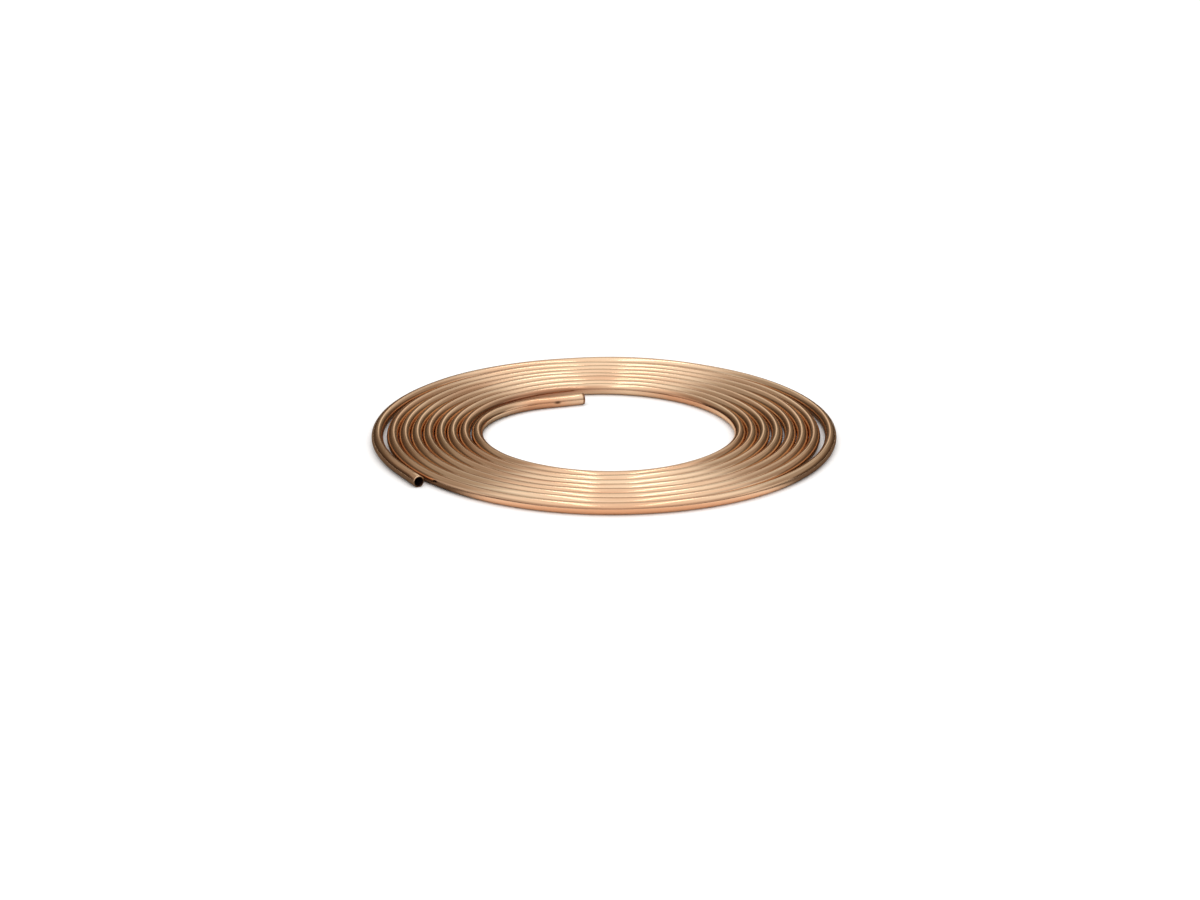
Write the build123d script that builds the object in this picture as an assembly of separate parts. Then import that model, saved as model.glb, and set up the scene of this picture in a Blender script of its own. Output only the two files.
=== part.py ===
from build123d import *
import math
import os

# A flat coil of soft copper tube, lying on the floor. It is one hollow tube, wound half turn by half turn
# from its inner end, inside the eye, to its outer end. Each half turn is turned about its own upright axis.
# Millimetres and degrees. +X is right, +Y is back, +Z is up, and the origin is under the coil's middle.

# The tube: its outside diameter, its wall, and the rounded lip that a tube cutter leaves round each end
TUBE_OD = 9.525
TUBE_WALL = 0.813
END_LIP = 0.4
END_LIP_LIMIT_SHARE = 0.6

# The turns: the clear width of the coil's eye, and the gap outside each turn as a share of the tube's
# diameter, from the inside out, on the left and on the right by turns. The outermost turn has sprung loose.
EYE_WIDTH = 207.0
TURN_GAP_SHARES = (
    0.10, 0.03, 0.04, 0.04, 0.03, 0.12, 0.03, 0.14,
    0.03, 0.05, 0.03, 0.03, 0.03, 0.40, 0.32,
)

# The inner end: how much tighter it bends than the innermost turn, through what angle, and its straight run
INNER_PULL = 28.0
INNER_BEND_ANGLE = 72.0
INNER_RUN = 33.5

# The outer end: the angle by which the outermost turn goes on past the X axis, and its straight run
OUTER_BEND_ANGLE = 30.0
OUTER_RUN = 30.0

# Worked out from the sizes above
TUBE_RADIUS = TUBE_OD / 2
BORE_RADIUS = TUBE_RADIUS - TUBE_WALL
LIP = min(END_LIP, TUBE_WALL * END_LIP_LIMIT_SHARE)


def turn_crossings():
    """Where the tube's centre line crosses the X axis, from the inside out: left, right, left and so on."""
    innermost = EYE_WIDTH / 2 + TUBE_RADIUS
    crossings = [-innermost, innermost]
    for gap_share in TURN_GAP_SHARES:
        inner = crossings[-2]
        crossings.append(inner + math.copysign(TUBE_OD * (1 + gap_share), inner))
    return crossings


def upright_axis(x):
    """The upright axis that stands on the X axis at x."""
    return Axis((x, 0, 0), (0, 0, 1))


def tube_section(x):
    """The tube's ring section where its centre line crosses the X axis at x."""
    plane = Plane(origin=(x, 0, TUBE_RADIUS), z_dir=(0, 1, 0))
    return plane * (Circle(TUBE_RADIUS) - Circle(BORE_RADIUS))


def bend(start, centre, angle):
    """A bend from the crossing at start, about centre. A negative angle goes clockwise, seen from above."""
    turned = revolve(tube_section(start), upright_axis(centre), abs(angle))
    if angle < 0:
        turned = turned.rotate(upright_axis(centre), angle)
    return turned


def straight_end(start, centre, angle, length):
    """The straight run that follows such a bend, with the lip round the tube's end."""
    heading = math.copysign(1, (start - centre) * angle)
    run = extrude(tube_section(start), length, dir=(0, heading, 0))
    end_face = run.faces().sort_by(Axis((0, 0, 0), (0, heading, 0)))[-1]
    run = fillet(end_face.outer_wire().edges(), LIP)
    return run.rotate(upright_axis(centre), angle)


def make_coil():
    """The whole tube, from its inner end to its outer end, with the coil's box centred over the origin."""
    crossings = turn_crossings()
    inner, outer = crossings[0], crossings[-1]
    inner_centre = -INNER_PULL
    outer_centre = (crossings[-2] + outer) / 2

    lengths = [
        straight_end(inner, inner_centre, -INNER_BEND_ANGLE, INNER_RUN),
        bend(inner, inner_centre, -INNER_BEND_ANGLE),
    ]
    for start, end in zip(crossings, crossings[1:-1]):
        lengths.append(bend(start, (start + end) / 2, 180))
    lengths.append(bend(crossings[-2], outer_centre, 180 + OUTER_BEND_ANGLE))
    lengths.append(straight_end(outer, outer_centre, OUTER_BEND_ANGLE, OUTER_RUN))

    coil = lengths[0] + lengths[1:]
    middle = coil.bounding_box().center()
    return Pos(-middle.X, -middle.Y, 0) * coil


coil = make_coil()
os.makedirs("parts", exist_ok=True)
export_step(coil, "parts/copper_tube.step")

ring_area = math.pi * (TUBE_RADIUS**2 - BORE_RADIUS**2)
print("solids", len(coil.solids()), "valid", coil.is_valid, "box", coil.bounding_box())
print("tube length", coil.volume / ring_area)
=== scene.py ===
"""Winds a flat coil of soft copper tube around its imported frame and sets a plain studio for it.

Metres throughout. +X is right, +Y is back and +Z is up, as in the frame.
"""

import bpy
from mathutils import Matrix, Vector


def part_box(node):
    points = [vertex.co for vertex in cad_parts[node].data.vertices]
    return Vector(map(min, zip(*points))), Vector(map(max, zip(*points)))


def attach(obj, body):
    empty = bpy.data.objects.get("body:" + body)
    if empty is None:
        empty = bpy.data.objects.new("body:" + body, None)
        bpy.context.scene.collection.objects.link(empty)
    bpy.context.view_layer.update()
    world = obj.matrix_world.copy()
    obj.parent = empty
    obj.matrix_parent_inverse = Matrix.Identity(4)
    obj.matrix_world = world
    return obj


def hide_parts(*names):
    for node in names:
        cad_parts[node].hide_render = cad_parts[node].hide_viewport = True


bl_info = {
    "name": "Copper Tube Coil",
    "version": (1, 0, 0),
    "blender": (4, 5, 0),
    "location": "3D View > Sidebar > Tube Coil",
    "description": "Winds a flat coil of soft copper tube and sets a plain studio around it",
    "category": "Add Mesh",
}

import math

import bpy
from bpy.props import FloatProperty, FloatVectorProperty, IntProperty, PointerProperty
from mathutils import Vector, noise

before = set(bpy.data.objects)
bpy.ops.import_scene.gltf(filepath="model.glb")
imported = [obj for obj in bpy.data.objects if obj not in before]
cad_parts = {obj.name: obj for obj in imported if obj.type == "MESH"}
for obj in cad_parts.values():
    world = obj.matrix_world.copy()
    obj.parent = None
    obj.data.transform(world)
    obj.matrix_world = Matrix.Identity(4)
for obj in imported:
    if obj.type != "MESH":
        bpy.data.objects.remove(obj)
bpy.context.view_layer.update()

NODE = "copper_tube"
PIECE = "wound_copper_tube"
NODE_LOW, NODE_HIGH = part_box(NODE)
TUBE_DIAMETER = NODE_HIGH.z - NODE_LOW.z

# The gap outside each turn as a share of the tube's diameter, from the inside out, left and right by turns
TURN_GAP_SHARES = (
    0.10, 0.03, 0.04, 0.04, 0.03, 0.12, 0.03, 0.14,
    0.03, 0.05, 0.03, 0.03, 0.03, 0.40, 0.32,
)

# The share of the wall within which points count as one, the steps round each lip, and the angle up to
# which edges are shaded smooth
NEAR_SHARE = 0.1
LIP_STEPS = 3
SMOOTH_ANGLE = math.radians(40)

# Where each point lay on the straight tube before winding: along it from the outer end, outwards and up
STRAIGHT = "straight_tube"

# The drawn copper: how often its toned patches and drawing lines repeat in a metre, along and across the
# tube, between which shares of them the tone and the gloss change, the roughness at both ends of the gloss,
# the relief of the lines, and the tint that it has at a glance along it
PATCHES_PER_METRE = (9, 160, 160)
LINES_PER_METRE = (25, 1500, 1500)
TONE_SHARES = (0.38, 0.72)
GLOSS_SHARES = (0.3, 0.7)
GLOSS_ROUGHNESS = (0.13, 0.19)
RELIEF_STRENGTH = 0.08
RELIEF_DEPTH = 0.00005
EDGE_TINT = (1, 0.85, 0.7, 1)

# The dull bore, its colour painted dark as the shade inside the tube: its streaks in a metre, along and
# across, its darker tone as a share of its colour, and its surface
STREAKS_PER_METRE = (60, 500, 500)
BORE_DARK_SHARE = 0.6
BORE_METALLIC = 0.6
BORE_ROUGHNESS = 0.6

# The dark ring at the cut of the inner end: where it starts and is full, back from the end
CUT_RING_START = 0.0024
CUT_RING_FULL = 0.0012

# The oval marks on the copper, each over those before it: its colour, its centre on the straight tube, its
# half sizes and the share of it that is solid. A negative centre counts back from the inner end.
MARKS = {
    # Painted reflection: a redder lower front flank on the outermost front turn, standing in for a warm
    # reflection there
    "painted warm reflection on the front turn": ("blush", (0.997, 0.0045, -0.0010), (0.220, 0.0065, 0.0065), 0.2),
    "warm back turn": ("toned", (3.483, 0.0, 0.0045), (0.050, 0.0080, 0.0080), 0.3),
    "warm inner turn": ("blush", (-0.5735, -0.0042, 0.0), (0.055, 0.0060, 0.0060), 0.3),
    # Painted shade: a brown patch on the turn behind the inner end, standing in for the shade that the
    # inner end casts on it
    "painted shade behind the inner end": ("painted_tail_shade", (-0.715, -0.0040, 0.0010), (0.090, 0.0052, 0.0052), 0.4),
    "blush": ("blush", (-0.040, -0.0040, -0.0004), (0.045, 0.0110, 0.0110), 0.25),
    "stain": ("stain", (-0.0245, -0.0047, 0.0006), (0.0040, 0.0018, 0.0018), 0.3),
}

# The picture that the camera frames, and where the middle of the coil's box lies in it
PICTURE_WIDTH = 1200
PICTURE_HEIGHT = 900
COIL_PIXEL_X = 604.0
COIL_PIXEL_Y = 431.0
SENSOR_WIDTH = 36.0

# The floor card: its size and place, where its cover starts and is full at both sides, its cover in the
# middle, where it starts and is full from the front, how that edge slants to both sides, and its colour
CARD_SIZE = 1.2
CARD_MIDDLE = 0.03
CARD_HEIGHT = 0.0001
CARD_CLEAR = 0.06
CARD_FULL = 0.14
CARD_COVER = 0.2
CARD_FRONT = (-0.06, 0.01)
CARD_SLANT = 0.9
CARD_COLOUR = (0.20, 0.17, 0.145)

# The floor: its sides, how far off the turns they shade it, how finely that is found, where it starts to
# whiten and is white, and how rough it and the card are
FLOOR_SIDES = 96
SHADE_REACH = 0.03
SHADE_SAMPLES = 6
FLOOR_WHITENS = (1.0, 4.0)
MATT_ROUGHNESS = 0.9

# The light canopy: its segments, its lean about X and about Y, and its light by the share of its height
CANOPY_SEGMENTS = 48
CANOPY_LEAN = (math.radians(12), math.radians(3), 0)
CANOPY_LIGHT = (
    (0.0, (0.06, 0.05, 0.045)),
    (0.43, (0.09, 0.075, 0.065)),
    (0.50, (0.15, 0.125, 0.105)),
    (0.526, (0.20, 0.17, 0.145)),
    (0.575, (0.27, 0.24, 0.21)),
    (0.62, (0.62, 0.61, 0.60)),
    (0.65, (0.60, 0.60, 0.60)),
    (0.74, (0.62, 0.62, 0.62)),
    (0.805, (0.86, 0.86, 0.86)),
    (0.865, (1.10, 1.10, 1.10)),
)

# As shares of its radius: its middle line, how much lower its light lies at both sides, and where its back
# corners start and are full. Then the light that is left in those corners
CANOPY_MIDDLE = 0.03
CANOPY_SIDE_DROP = 0.09
CANOPY_EDGE = (0.88, 1.15)
CANOPY_CORNER_LIGHT = (0.64, 0.56, 0.49)

# The soft lamps: each one's place, turn, width and length, and its share of the studio's lamp power
LAMPS = {
    "left_lamp": ((-0.36, 0.0, 2.3), (0, 0, 0), (0.12, 3.0), 1.0),
    "right_lamp": ((0.56, 0.0, 2.3), (0, 0, 0), (0.12, 3.0), 1.0),
    "back_lamp": ((0.12, 3.5, 1.3), (math.radians(-70), 0, 0), (0.56, 0.8), 0.283),
    "left_side_lamp": ((-3.5, -0.6, 0.95), (0, math.radians(-75), 0), (1.3, 2.4), 1.3),
    "right_side_lamp": ((3.5, -0.6, 0.95), (0, math.radians(75), 0), (1.3, 2.4), 1.3),
}


class TubeCoilSizes(bpy.types.PropertyGroup):
    """The tube and how it is wound"""

    diameter: FloatProperty(
        name="Outside Diameter", description="Outside diameter of the tube",
        default=TUBE_DIAMETER, unit="LENGTH",
    )
    wall: FloatProperty(
        name="Wall", description="Thickness of the tube's wall",
        default=0.000813, unit="LENGTH",
    )
    lip: FloatProperty(
        name="End Lip", description="Rounding that the tube cutter leaves round each end",
        default=0.0004, unit="LENGTH",
    )
    eye: FloatProperty(
        name="Eye", description="Clear width of the coil's eye",
        default=0.207, unit="LENGTH",
    )
    inner_pull: FloatProperty(
        name="Inner Pull", description="How much tighter the inner end bends than the innermost turn",
        default=0.028, unit="LENGTH",
    )
    inner_bend: FloatProperty(
        name="Inner Bend", description="Angle of the bend at the inner end",
        default=math.radians(72), subtype="ANGLE",
    )
    inner_run: FloatProperty(
        name="Inner Run", description="Straight run at the inner end",
        default=0.0335, unit="LENGTH",
    )
    outer_bend: FloatProperty(
        name="Outer Bend", description="How far the outermost turn goes on past the X axis",
        default=math.radians(30), subtype="ANGLE",
    )
    outer_run: FloatProperty(
        name="Outer Run", description="Straight run at the outer end",
        default=0.03, unit="LENGTH",
    )
    lift: FloatProperty(
        name="Lift", description="How far the soft turns rise off the floor at most",
        default=0.0013, unit="LENGTH",
    )
    lift_wave: FloatProperty(
        name="Lift Wave", description="Length of tube from one rise to the next",
        default=0.13, unit="LENGTH",
    )
    sides: IntProperty(
        name="Sides", description="Faces around the tube", default=32, min=8,
    )
    half_turn_steps: IntProperty(
        name="Steps", description="Steps in each half turn", default=80, min=8,
    )


class TubeCoilFinish(bpy.types.PropertyGroup):
    """The colours of the copper"""

    bright: FloatVectorProperty(
        name="Bright Copper", description="Colour of the clean drawn copper",
        default=(0.87, 0.625, 0.415), subtype="COLOR", size=3, min=0, max=1,
    )
    toned: FloatVectorProperty(
        name="Toned Copper", description="Colour where handling has toned the copper",
        default=(0.75, 0.45, 0.275), subtype="COLOR", size=3, min=0, max=1,
    )
    stain: FloatVectorProperty(
        name="Stain", description="Colour of the small dark mark near the inner end",
        default=(0.16, 0.075, 0.04), subtype="COLOR", size=3, min=0, max=1,
    )
    # This colour also paints a painted reflection: the redder lower front flank of the outermost front turn
    blush: FloatVectorProperty(
        name="Blush", description="Colour of the redder patch round that mark",
        default=(0.68, 0.345, 0.19), subtype="COLOR", size=3, min=0, max=1,
    )
    # Painted shade: this colour paints the shade that the inner end casts on the turn behind it
    painted_tail_shade: FloatVectorProperty(
        name="Painted Shade", description="Colour of the painted shade on the turn behind the inner end",
        default=(0.42, 0.20, 0.11), subtype="COLOR", size=3, min=0, max=1,
    )
    cut_ring: FloatVectorProperty(
        name="Cut Ring", description="Colour of the dark ring at the cut of the inner end",
        default=(0.26, 0.12, 0.06), subtype="COLOR", size=3, min=0, max=1,
    )
    # Painted shade: this colour paints the inside of the tube dark as the shade in it, over a duller
    # surface
    bore: FloatVectorProperty(
        name="Bore", description="Colour of the dull inside of the tube, painted dark as its shade",
        default=(0.05, 0.02, 0.012), subtype="COLOR", size=3, min=0, max=1,
    )


class TubeCoilStudio(bpy.types.PropertyGroup):
    """The floor, the lights and the camera"""

    canopy_radius: FloatProperty(
        name="Canopy", description="Radius of the light canopy and of the floor under it",
        default=6.0, unit="LENGTH",
    )
    floor_colour: FloatVectorProperty(
        name="Floor Colour", description="Colour of the floor",
        default=(0.92, 0.92, 0.92), subtype="COLOR", size=3, min=0, max=1,
    )
    floor_glow: FloatProperty(
        name="Floor Glow", description="How much whiter the floor near the coil looks than it is lit",
        default=0.37,
    )
    lamp_power: FloatProperty(
        name="Lamp Power", description="Power of each overhead lamp, which the other lamps follow",
        default=3.0, unit="POWER",
    )
    focal_pixels: FloatProperty(
        name="Focal Length", description="Focal length in pixels of the picture", default=3300.0,
    )
    elevation: FloatProperty(
        name="Elevation", description="Angle at which the camera looks down on the coil",
        default=math.radians(19.1), subtype="ANGLE",
    )
    metres_per_pixel: FloatProperty(
        name="Metres per Pixel", description="Size of a pixel at the coil's middle",
        default=0.000825, precision=6,
    )


def turn_crossings(sizes):
    """Where the tube's centre line crosses the X axis, from the inside out: left, right, left and so on."""
    innermost = (sizes.eye + sizes.diameter) / 2
    crossings = [-innermost, innermost]
    for gap_share in TURN_GAP_SHARES:
        inner = crossings[-2]
        crossings.append(inner + math.copysign(sizes.diameter * (1 + gap_share), inner))
    return crossings


def deselect_all():
    """Deselects every object, so that the next operator acts on the new piece alone."""
    if bpy.context.mode != "OBJECT":
        bpy.ops.object.mode_set(mode="OBJECT")
    bpy.ops.object.select_all(action="DESELECT")


def add_section(sizes, place, turn):
    """Adds the tube's round section at a place on its centre line, turned about Z, open for editing."""
    deselect_all()
    bpy.ops.mesh.primitive_circle_add(
        vertices=sizes.sides, radius=sizes.diameter / 2, location=place, rotation=(math.pi / 2, 0, turn),
    )
    bpy.ops.object.transform_apply(location=True, rotation=True, scale=True)
    bpy.ops.object.mode_set(mode="EDIT")
    bpy.ops.mesh.select_all(action="SELECT")
    return bpy.context.object


def keep_straight_points(length, straight_point):
    """Stores where each point of a wound length lay on the straight tube, which the finish follows."""
    bpy.ops.object.mode_set(mode="OBJECT")
    attribute = length.data.attributes.new(STRAIGHT, "FLOAT_VECTOR", "POINT")
    for vertex, row in zip(length.data.vertices, attribute.data):
        row.vector = straight_point(vertex.co)


def wind_bend(sizes, start, centre, angle, along):
    """Winds a bend clockwise about centre, from a start on the X axis that lies so far along the tube."""
    reach = abs(start - centre)
    step = math.pi / sizes.half_turn_steps
    bend = add_section(sizes, (start, 0, sizes.diameter / 2), 0)
    steps = max(2, round(abs(angle) / step))
    bpy.ops.mesh.spin(steps=steps, angle=angle, center=(centre, 0, 0), axis=(0, 0, 1))

    first = Vector((math.copysign(1, start - centre), 0))
    middle = Vector((first.x * math.cos(angle / 2), -first.x * math.sin(angle / 2)))

    def straight_point(point):
        out = Vector((point.x - centre, point.y))
        turned = angle / 2 + middle.angle_signed(out)
        return along + reach * turned, out.length - reach, point.z - sizes.diameter / 2

    keep_straight_points(bend, straight_point)
    return bend


def draw_run(sizes, start, centre, angle, length, along):
    """Draws the tube straight on where such a bend ends. Its length is negative towards the outer end."""
    reach = abs(start - centre)
    side = math.copysign(1, start - centre)
    outwards = Vector((side * math.cos(angle), -side * math.sin(angle), 0))
    heading = Vector((outwards.y, -outwards.x, 0))
    place = Vector((centre, 0, sizes.diameter / 2)) + outwards * reach
    run = add_section(sizes, place, -angle)
    steps = max(2, round(abs(length) / sizes.diameter))
    for _ in range(steps):
        bpy.ops.mesh.extrude_region_move(TRANSFORM_OT_translate={"value": heading * (length / steps)})

    def straight_point(point):
        off = point - place
        return along + off.dot(heading), off.dot(outwards), off.z

    keep_straight_points(run, straight_point)
    return run


def wind_tube(sizes):
    """Winds the tube's skin, length by length from its outer end, and returns it and the tube's length."""
    crossings = turn_crossings(sizes)
    turns = crossings[::-1]
    outer, inner = turns[0], turns[-1]
    outer_centre = (outer + turns[1]) / 2
    inner_centre = -sizes.inner_pull
    along = sizes.outer_run
    lengths = [draw_run(sizes, outer, outer_centre, -sizes.outer_bend, -sizes.outer_run, along)]
    along += abs(outer - outer_centre) * sizes.outer_bend
    lengths.append(wind_bend(sizes, outer, outer_centre, -sizes.outer_bend, along))
    for begin, end in zip(turns, turns[1:]):
        lengths.append(wind_bend(sizes, begin, (begin + end) / 2, math.pi, along))
        along += math.pi * abs(end - begin) / 2
    lengths.append(wind_bend(sizes, inner, inner_centre, sizes.inner_bend, along))
    along += abs(inner - inner_centre) * sizes.inner_bend
    lengths.append(draw_run(sizes, inner, inner_centre, sizes.inner_bend, sizes.inner_run, along))

    deselect_all()
    for length in lengths:
        length.select_set(True)
    tube = lengths[0]
    bpy.context.view_layer.objects.active = tube
    bpy.ops.object.join()
    tube.name = PIECE
    tube.data.name = PIECE
    bpy.ops.object.mode_set(mode="EDIT")
    bpy.ops.mesh.select_all(action="SELECT")
    bpy.ops.mesh.remove_doubles(threshold=sizes.wall * NEAR_SHARE)
    bpy.ops.mesh.normals_make_consistent(inside=False)
    bpy.ops.object.mode_set(mode="OBJECT")
    return tube, along + sizes.inner_run


def place_in_box(mesh):
    """Moves the wound tube so that its box lies over the middle of the frame's node, on the floor."""
    points = [v.co for v in mesh.vertices]
    low = Vector(min(p[i] for p in points) for i in range(3))
    high = Vector(max(p[i] for p in points) for i in range(3))
    shift = (NODE_LOW + NODE_HIGH) / 2 - (low + high) / 2
    shift.z = NODE_LOW.z - low.z
    for vertex in mesh.vertices:
        vertex.co += shift


def lift_turns(mesh, sizes):
    """Lifts the soft turns a little off the floor here and there, as they lie on the real coil."""
    straight = mesh.attributes[STRAIGHT].data
    for vertex, row in zip(mesh.vertices, straight):
        rise = noise.noise((row.vector.x / sizes.lift_wave, 0, 0))
        vertex.co.z += sizes.lift * max(0, rise)


def give_wall(tube, sizes):
    """Gives the skin the tube's wall, inwards, with the bore in the second material."""
    solidify = tube.modifiers.new("wall", "SOLIDIFY")
    solidify.thickness = sizes.wall
    solidify.offset = -1
    solidify.use_even_offset = True
    solidify.material_offset = 1
    solidify.material_offset_rim = 0
    bpy.ops.object.modifier_apply(modifier=solidify.name)


def round_lips(tube, sizes, skin_vertices, length):
    """Rounds the outer edge of both tube ends, as a tube cutter does."""
    straight = tube.data.attributes[STRAIGHT].data
    near = sizes.wall * NEAR_SHARE
    ends = set()
    for index in range(skin_vertices):
        along = straight[index].vector.x
        if along < near or along > length - near:
            ends.add(index)
    bpy.ops.object.mode_set(mode="EDIT")
    bpy.ops.mesh.select_mode(type="EDGE")
    bpy.ops.mesh.select_all(action="DESELECT")
    bpy.ops.object.mode_set(mode="OBJECT")
    for edge in tube.data.edges:
        edge.select = edge.vertices[0] in ends and edge.vertices[1] in ends
    bpy.ops.object.mode_set(mode="EDIT")
    bpy.ops.mesh.bevel(offset=sizes.lip, segments=LIP_STEPS, affect="EDGES")
    bpy.ops.object.mode_set(mode="OBJECT")


def add_node(tree, kind, label, **inputs):
    """Adds a shader node with a plain label and sets its inputs."""
    node = tree.nodes.new(kind)
    node.label = label
    for name, value in inputs.items():
        node.inputs[name.replace("_", " ")].default_value = value
    return node


def add_math(tree, operation, label, *values):
    """Adds a Math node whose inputs are sockets or plain numbers, and returns its result."""
    node = add_node(tree, "ShaderNodeMath", label)
    node.operation = operation
    for socket, value in zip(node.inputs, values):
        if isinstance(value, bpy.types.NodeSocket):
            tree.links.new(value, socket)
        else:
            socket.default_value = value
    return node.outputs["Value"]


def add_mix(tree, label, share, first, second, blend="MIX"):
    """Adds a mix of a colour socket with a plain colour, by a share, and returns its result."""
    node = add_node(tree, "ShaderNodeMix", label)
    node.data_type = "RGBA"
    node.blend_type = blend
    own, plain = (socket for socket in node.inputs if socket.type == "RGBA")
    plain.default_value = (*second, 1)
    tree.links.new(share, node.inputs[0])
    tree.links.new(first, own)
    return next(socket for socket in node.outputs if socket.type == "RGBA")


def new_material(name):
    """A new material, its node tree and its Principled shader."""
    material = bpy.data.materials.new(name)
    material.use_nodes = True
    tree = material.node_tree
    return material, tree, tree.nodes["Principled BSDF"]


def make_matt(shader, colour):
    """Gives a shader one plain, matt colour."""
    shader.inputs["Base Color"].default_value = (*colour, 1)
    shader.inputs["Roughness"].default_value = MATT_ROUGHNESS
    shader.inputs["Specular IOR Level"].default_value = 0


def straight_tube_node(tree):
    """Adds the node that gives a point's place on the straight tube."""
    straight = add_node(tree, "ShaderNodeAttribute", "straight tube")
    straight.attribute_name = STRAIGHT
    return straight


def add_streaks(tree, label, straight, per_metre, detail, roughness=0.5):
    """Adds a noise that repeats so often in a metre of the straight tube, and returns its result."""
    mapping = add_node(tree, "ShaderNodeMapping", label + " in a metre", Scale=per_metre)
    streaks = add_node(tree, "ShaderNodeTexNoise", label, Scale=1, Detail=detail, Roughness=roughness)
    tree.links.new(straight.outputs["Vector"], mapping.inputs["Vector"])
    tree.links.new(mapping.outputs["Vector"], streaks.inputs["Vector"])
    return streaks.outputs["Fac"]


def add_oval_mark(tree, label, straight, colour, mark_colour, centre, size, solid_share):
    """Adds an oval mark round a point on the straight tube, and returns the colour with the mark on it."""
    mapping = add_node(tree, "ShaderNodeMapping", "round the " + label, Location=centre, Scale=size)
    mapping.vector_type = "TEXTURE"
    off = add_node(tree, "ShaderNodeVectorMath", "off the " + label)
    off.operation = "LENGTH"
    fade = add_node(tree, "ShaderNodeMapRange", label + "'s edge", From_Min=1, From_Max=solid_share)
    tree.links.new(straight.outputs["Vector"], mapping.inputs["Vector"])
    tree.links.new(mapping.outputs["Vector"], off.inputs[0])
    tree.links.new(off.outputs["Value"], fade.inputs["Value"])
    return add_mix(tree, label, fade.outputs["Result"], colour, mark_colour)


def copper_material(finish, length):
    """Bright drawn copper, with fine lines along the tube, toned patches, the marks (among them a painted
    shade and a painted reflection) and the cut ring.
    """
    material, tree, shader = new_material("drawn_copper")
    links = tree.links
    straight = straight_tube_node(tree)
    patches = add_streaks(tree, "toned patches", straight, PATCHES_PER_METRE, detail=3, roughness=0.55)
    lines = add_streaks(tree, "drawing lines", straight, LINES_PER_METRE, detail=2)

    tone = add_node(tree, "ShaderNodeValToRGB", "tone")
    for element, share, colour in zip(tone.color_ramp.elements, TONE_SHARES, (finish.bright, finish.toned)):
        element.position = share
        element.color = (*colour, 1)
    links.new(patches, tone.inputs["Fac"])

    marked = tone.outputs["Color"]
    for label, (colour_name, (along, outwards, up), size, solid_share) in MARKS.items():
        centre = (along if along > 0 else length + along, outwards, up)
        colour = getattr(finish, colour_name)
        marked = add_oval_mark(tree, label, straight, marked, colour, centre, size, solid_share)

    along = add_node(tree, "ShaderNodeSeparateXYZ", "along the tube")
    cut = add_node(
        tree, "ShaderNodeMapRange", "near the cut",
        From_Min=length - CUT_RING_START, From_Max=length - CUT_RING_FULL,
    )
    links.new(straight.outputs["Vector"], along.inputs["Vector"])
    links.new(along.outputs["X"], cut.inputs["Value"])
    ringed = add_mix(tree, "cut ring", cut.outputs["Result"], marked, finish.cut_ring)
    links.new(ringed, shader.inputs["Base Color"])

    gloss = add_node(
        tree, "ShaderNodeMapRange", "gloss",
        From_Min=GLOSS_SHARES[0], From_Max=GLOSS_SHARES[1],
        To_Min=GLOSS_ROUGHNESS[0], To_Max=GLOSS_ROUGHNESS[1],
    )
    links.new(lines, gloss.inputs["Value"])
    links.new(gloss.outputs["Result"], shader.inputs["Roughness"])

    relief = add_node(
        tree, "ShaderNodeBump", "drawn relief", Strength=RELIEF_STRENGTH, Distance=RELIEF_DEPTH,
    )
    links.new(lines, relief.inputs["Height"])
    links.new(relief.outputs["Normal"], shader.inputs["Normal"])
    shader.inputs["Metallic"].default_value = 1
    shader.inputs["Specular Tint"].default_value = EDGE_TINT
    return material


def painted_shade_bore_material(finish):
    """The dull inside of the tube, its colour painted dark as the shade inside it."""
    material, tree, shader = new_material("tube_bore_painted_shade")
    streaks = add_streaks(tree, "bore streaks", straight_tube_node(tree), STREAKS_PER_METRE, detail=2)
    tone = add_node(tree, "ShaderNodeValToRGB", "bore tone")
    tone.color_ramp.elements[0].color = (*(BORE_DARK_SHARE * c for c in finish.bore), 1)
    tone.color_ramp.elements[1].color = (*finish.bore, 1)
    tree.links.new(streaks, tone.inputs["Fac"])
    tree.links.new(tone.outputs["Color"], shader.inputs["Base Color"])
    shader.inputs["Metallic"].default_value = BORE_METALLIC
    shader.inputs["Roughness"].default_value = BORE_ROUGHNESS
    return material


class TUBECOIL_OT_wind_tube(bpy.types.Operator):
    """Wind the copper tube into its flat coil, half turn by half turn"""

    bl_idname = "tube_coil.wind_tube"
    bl_label = "Wind Copper Tube"
    bl_options = {"REGISTER", "UNDO"}

    def execute(self, context):
        sizes = context.scene.tube_coil_sizes
        finish = context.scene.tube_coil_finish
        tube, length = wind_tube(sizes)
        place_in_box(tube.data)
        lift_turns(tube.data, sizes)
        skin_vertices = len(tube.data.vertices)
        tube.data.materials.append(copper_material(finish, length))
        tube.data.materials.append(painted_shade_bore_material(finish))
        give_wall(tube, sizes)
        round_lips(tube, sizes, skin_vertices, length)
        bpy.ops.object.shade_smooth_by_angle(angle=SMOOTH_ANGLE)
        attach(tube, "root")
        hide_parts(NODE)
        print("tube length", round(length, 4), "faces", len(tube.data.polygons))
        return {"FINISHED"}


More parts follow.
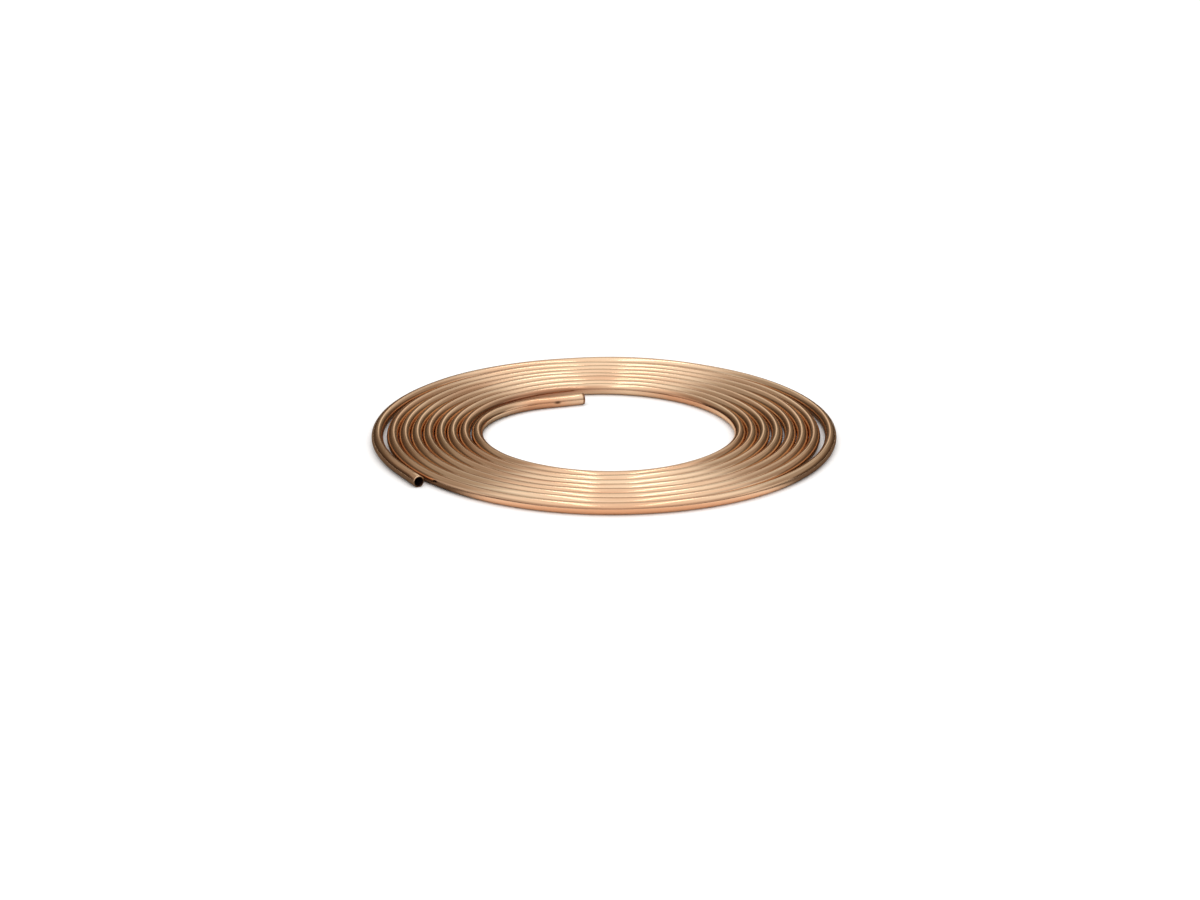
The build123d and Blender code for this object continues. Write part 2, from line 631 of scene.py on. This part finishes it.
def make_canopy(studio):
    """A light canopy all round, bright overhead and dim near the floor, that the camera doesn't see."""
    deselect_all()
    bpy.ops.mesh.primitive_uv_sphere_add(
        segments=CANOPY_SEGMENTS, ring_count=CANOPY_SEGMENTS // 2, radius=1,
        location=(0, 0, NODE_LOW.z), rotation=CANOPY_LEAN,
    )
    canopy = bpy.context.object
    canopy.name = "canopy"
    canopy.scale = (studio.canopy_radius,) * 3
    bpy.ops.object.shade_smooth()
    material, tree, shader = new_material("canopy_light")
    tree.nodes.remove(shader)
    place = add_node(tree, "ShaderNodeTexCoord", "place on the canopy")
    parts = add_node(tree, "ShaderNodeSeparateXYZ", "across, back and up")
    tree.links.new(place.outputs["Object"], parts.inputs["Vector"])
    across, back, up = (parts.outputs[axis] for axis in "XYZ")

    aside = add_math(tree, "SUBTRACT", "off the middle", across, CANOPY_MIDDLE)
    aside = add_math(tree, "ABSOLUTE", "distance from the middle", aside)
    height = add_math(tree, "MULTIPLY_ADD", "share of the height", up, 0.5, 0.5)
    height = add_math(tree, "MULTIPLY_ADD", "lower at both sides", aside, -CANOPY_SIDE_DROP, height)
    fade = add_node(tree, "ShaderNodeValToRGB", "fade")
    ramp = fade.color_ramp
    while len(ramp.elements) < len(CANOPY_LIGHT):
        ramp.elements.new(1)
    for element, (share, colour) in zip(ramp.elements, CANOPY_LIGHT):
        element.position = share
        element.color = (*colour, 1)
    tree.links.new(height, fade.inputs["Fac"])

    back = add_math(tree, "ADD", "from the front", back, 1)
    back = add_math(tree, "MULTIPLY", "far back", back, back)
    corner = add_math(tree, "MULTIPLY", "far back and aside", back, aside)
    edge = add_node(
        tree, "ShaderNodeMapRange", "back corners", From_Min=CANOPY_EDGE[0], From_Max=CANOPY_EDGE[1],
    )
    tree.links.new(corner, edge.inputs["Value"])
    dimmed = add_mix(
        tree, "dimmer in the back corners", edge.outputs["Result"], fade.outputs["Color"],
        CANOPY_CORNER_LIGHT, blend="MULTIPLY",
    )
    light = add_node(tree, "ShaderNodeEmission", "canopy light")
    tree.links.new(dimmed, light.inputs["Color"])
    tree.links.new(light.outputs["Emission"], tree.nodes["Material Output"].inputs["Surface"])
    material.cycles.emission_sampling = "NONE"
    canopy.data.materials.append(material)
    canopy.visible_camera = False


def make_floor(studio):
    """A plain white floor that keeps the coil's shadow and turns pure white far off."""
    deselect_all()
    bpy.ops.mesh.primitive_circle_add(
        vertices=FLOOR_SIDES, radius=studio.canopy_radius, fill_type="NGON", location=(0, 0, NODE_LOW.z),
    )
    floor = bpy.context.object
    floor.name = "floor"
    material, tree, shader = new_material("white_floor")
    make_matt(shader, studio.floor_colour)
    shader.inputs["Emission Color"].default_value = (1, 1, 1, 1)

    place = add_node(tree, "ShaderNodeTexCoord", "place on the floor")
    off = add_node(tree, "ShaderNodeVectorMath", "distance from the coil")
    off.operation = "LENGTH"
    far = add_node(
        tree, "ShaderNodeMapRange", "glow",
        From_Min=FLOOR_WHITENS[0], From_Max=FLOOR_WHITENS[1], To_Min=studio.floor_glow, To_Max=1,
    )
    tree.links.new(place.outputs["Object"], off.inputs[0])
    tree.links.new(off.outputs["Value"], far.inputs["Value"])
    free = add_node(tree, "ShaderNodeAmbientOcclusion", "open floor", Distance=SHADE_REACH)
    free.samples = SHADE_SAMPLES
    ray = add_node(tree, "ShaderNodeLightPath", "ray")
    seen = ray.outputs["Is Camera Ray"]
    seen = add_math(tree, "ADD", "camera or metal", seen, ray.outputs["Is Glossy Ray"])
    seen = add_math(tree, "ADD", "or glass", seen, ray.outputs["Is Transmission Ray"])
    glow = add_math(tree, "MULTIPLY", "glow of the open floor", far.outputs["Result"], free.outputs["AO"])
    glow = add_math(tree, "MULTIPLY", "glow that is seen", glow, seen)
    tree.links.new(glow, shader.inputs["Emission Strength"])
    floor.data.materials.append(material)


def make_floor_card():
    """A dark card on the floor that only the metal sees: thin in the middle, full aside, none in front."""
    deselect_all()
    bpy.ops.mesh.primitive_plane_add(size=CARD_SIZE, location=(CARD_MIDDLE, 0, NODE_LOW.z + CARD_HEIGHT))
    card = bpy.context.object
    card.name = "floor_card"
    material, tree, shader = new_material("floor_card")
    make_matt(shader, CARD_COLOUR)
    place = add_node(tree, "ShaderNodeTexCoord", "place on the card")
    parts = add_node(tree, "ShaderNodeSeparateXYZ", "across and back")
    cover = add_node(
        tree, "ShaderNodeMapRange", "full at both sides",
        From_Min=CARD_CLEAR, From_Max=CARD_FULL, To_Min=CARD_COVER, To_Max=1,
    )
    front = add_node(
        tree, "ShaderNodeMapRange", "none in front", From_Min=CARD_FRONT[0], From_Max=CARD_FRONT[1],
    )
    cover.interpolation_type = "SMOOTHSTEP"
    front.interpolation_type = "SMOOTHSTEP"
    clear = add_node(tree, "ShaderNodeBsdfTransparent", "clear")
    mix = add_node(tree, "ShaderNodeMixShader", "soft cover")
    links = tree.links
    links.new(place.outputs["Object"], parts.inputs["Vector"])
    aside = add_math(tree, "ABSOLUTE", "distance from the middle", parts.outputs["X"])
    links.new(aside, cover.inputs["Value"])
    depth = add_math(tree, "MULTIPLY_ADD", "off the slanting front", aside, CARD_SLANT, parts.outputs["Y"])
    links.new(depth, front.inputs["Value"])
    share = add_math(tree, "MULTIPLY", "cover", cover.outputs["Result"], front.outputs["Result"])
    links.new(share, mix.inputs["Fac"])
    links.new(clear.outputs["BSDF"], mix.inputs[1])
    links.new(shader.outputs["BSDF"], mix.inputs[2])
    links.new(mix.outputs["Shader"], tree.nodes["Material Output"].inputs["Surface"])
    card.data.materials.append(material)
    card.visible_camera = False
    card.visible_diffuse = False
    card.visible_shadow = False
    card.visible_transmission = False


def make_lamps(studio):
    """Two long lamps overhead, a narrow one at the back and a low wide one at each side, all soft."""
    for name, (place, turn, size, power_share) in LAMPS.items():
        deselect_all()
        bpy.ops.object.light_add(type="AREA", location=place, rotation=turn)
        lamp = bpy.context.object
        lamp.name = name
        lamp.data.shape = "RECTANGLE"
        lamp.data.size, lamp.data.size_y = size
        lamp.data.energy = studio.lamp_power * power_share
        lamp.visible_camera = False


def make_backdrop():
    """A white world, which only the camera sees, past the edge of the floor."""
    world = bpy.data.worlds.new("white_backdrop")
    bpy.context.scene.world = world
    world.use_nodes = True
    background = world.node_tree.nodes["Background"]
    background.inputs["Color"].default_value = (1, 1, 1, 1)
    background.inputs["Strength"].default_value = 1


def make_camera(studio):
    """A camera at the picture's viewing angle, with the coil where the picture has it."""
    scale = studio.metres_per_pixel
    rise = PICTURE_HEIGHT / 2 - COIL_PIXEL_Y
    aside = COIL_PIXEL_X - PICTURE_WIDTH / 2
    tilt = studio.elevation + math.atan2(rise, studio.focal_pixels)
    up = Vector((0, math.sin(tilt), math.cos(tilt)))
    back = Vector((0, -math.cos(tilt), math.sin(tilt)))
    middle = (NODE_LOW + NODE_HIGH) / 2
    aim = middle - Vector((aside * scale, 0, 0)) - up * rise * scale
    deselect_all()
    bpy.ops.object.camera_add(
        location=aim + back * studio.focal_pixels * scale,
        rotation=(math.pi / 2 - tilt, 0, 0),
    )
    camera = bpy.context.object
    camera.name = "camera"
    camera.data.sensor_fit = "HORIZONTAL"
    camera.data.sensor_width = SENSOR_WIDTH
    camera.data.lens = SENSOR_WIDTH * studio.focal_pixels / PICTURE_WIDTH
    bpy.context.scene.camera = camera


class TUBECOIL_OT_set_studio(bpy.types.Operator):
    """Set the white floor, the soft lights and the camera"""

    bl_idname = "tube_coil.set_studio"
    bl_label = "Set Studio"
    bl_options = {"REGISTER", "UNDO"}

    def execute(self, context):
        studio = context.scene.tube_coil_studio
        make_canopy(studio)
        make_floor(studio)
        make_floor_card()
        make_lamps(studio)
        make_backdrop()
        make_camera(studio)
        context.scene.view_settings.view_transform = "Standard"
        return {"FINISHED"}


class TUBECOIL_PT_panel(bpy.types.Panel):
    """The sizes, the colours and the two steps of the coil"""

    bl_idname = "TUBECOIL_PT_panel"
    bl_label = "Copper Tube Coil"
    bl_space_type = "VIEW_3D"
    bl_region_type = "UI"
    bl_category = "Tube Coil"

    def draw(self, context):
        scene = context.scene
        for group in (scene.tube_coil_sizes, scene.tube_coil_finish, scene.tube_coil_studio):
            box = self.layout.box()
            for name in group.__annotations__:
                box.prop(group, name)
        self.layout.operator(TUBECOIL_OT_wind_tube.bl_idname)
        self.layout.operator(TUBECOIL_OT_set_studio.bl_idname)


CLASSES = (
    TubeCoilSizes,
    TubeCoilFinish,
    TubeCoilStudio,
    TUBECOIL_OT_wind_tube,
    TUBECOIL_OT_set_studio,
    TUBECOIL_PT_panel,
)


def register():
    for cls in CLASSES:
        bpy.utils.register_class(cls)
    bpy.types.Scene.tube_coil_sizes = PointerProperty(type=TubeCoilSizes)
    bpy.types.Scene.tube_coil_finish = PointerProperty(type=TubeCoilFinish)
    bpy.types.Scene.tube_coil_studio = PointerProperty(type=TubeCoilStudio)


def unregister():
    del bpy.types.Scene.tube_coil_studio
    del bpy.types.Scene.tube_coil_finish
    del bpy.types.Scene.tube_coil_sizes
    for cls in reversed(CLASSES):
        bpy.utils.unregister_class(cls)


def main():
    register()
    bpy.ops.tube_coil.wind_tube()
    bpy.ops.tube_coil.set_studio()


if __name__ == "__main__":
    main()
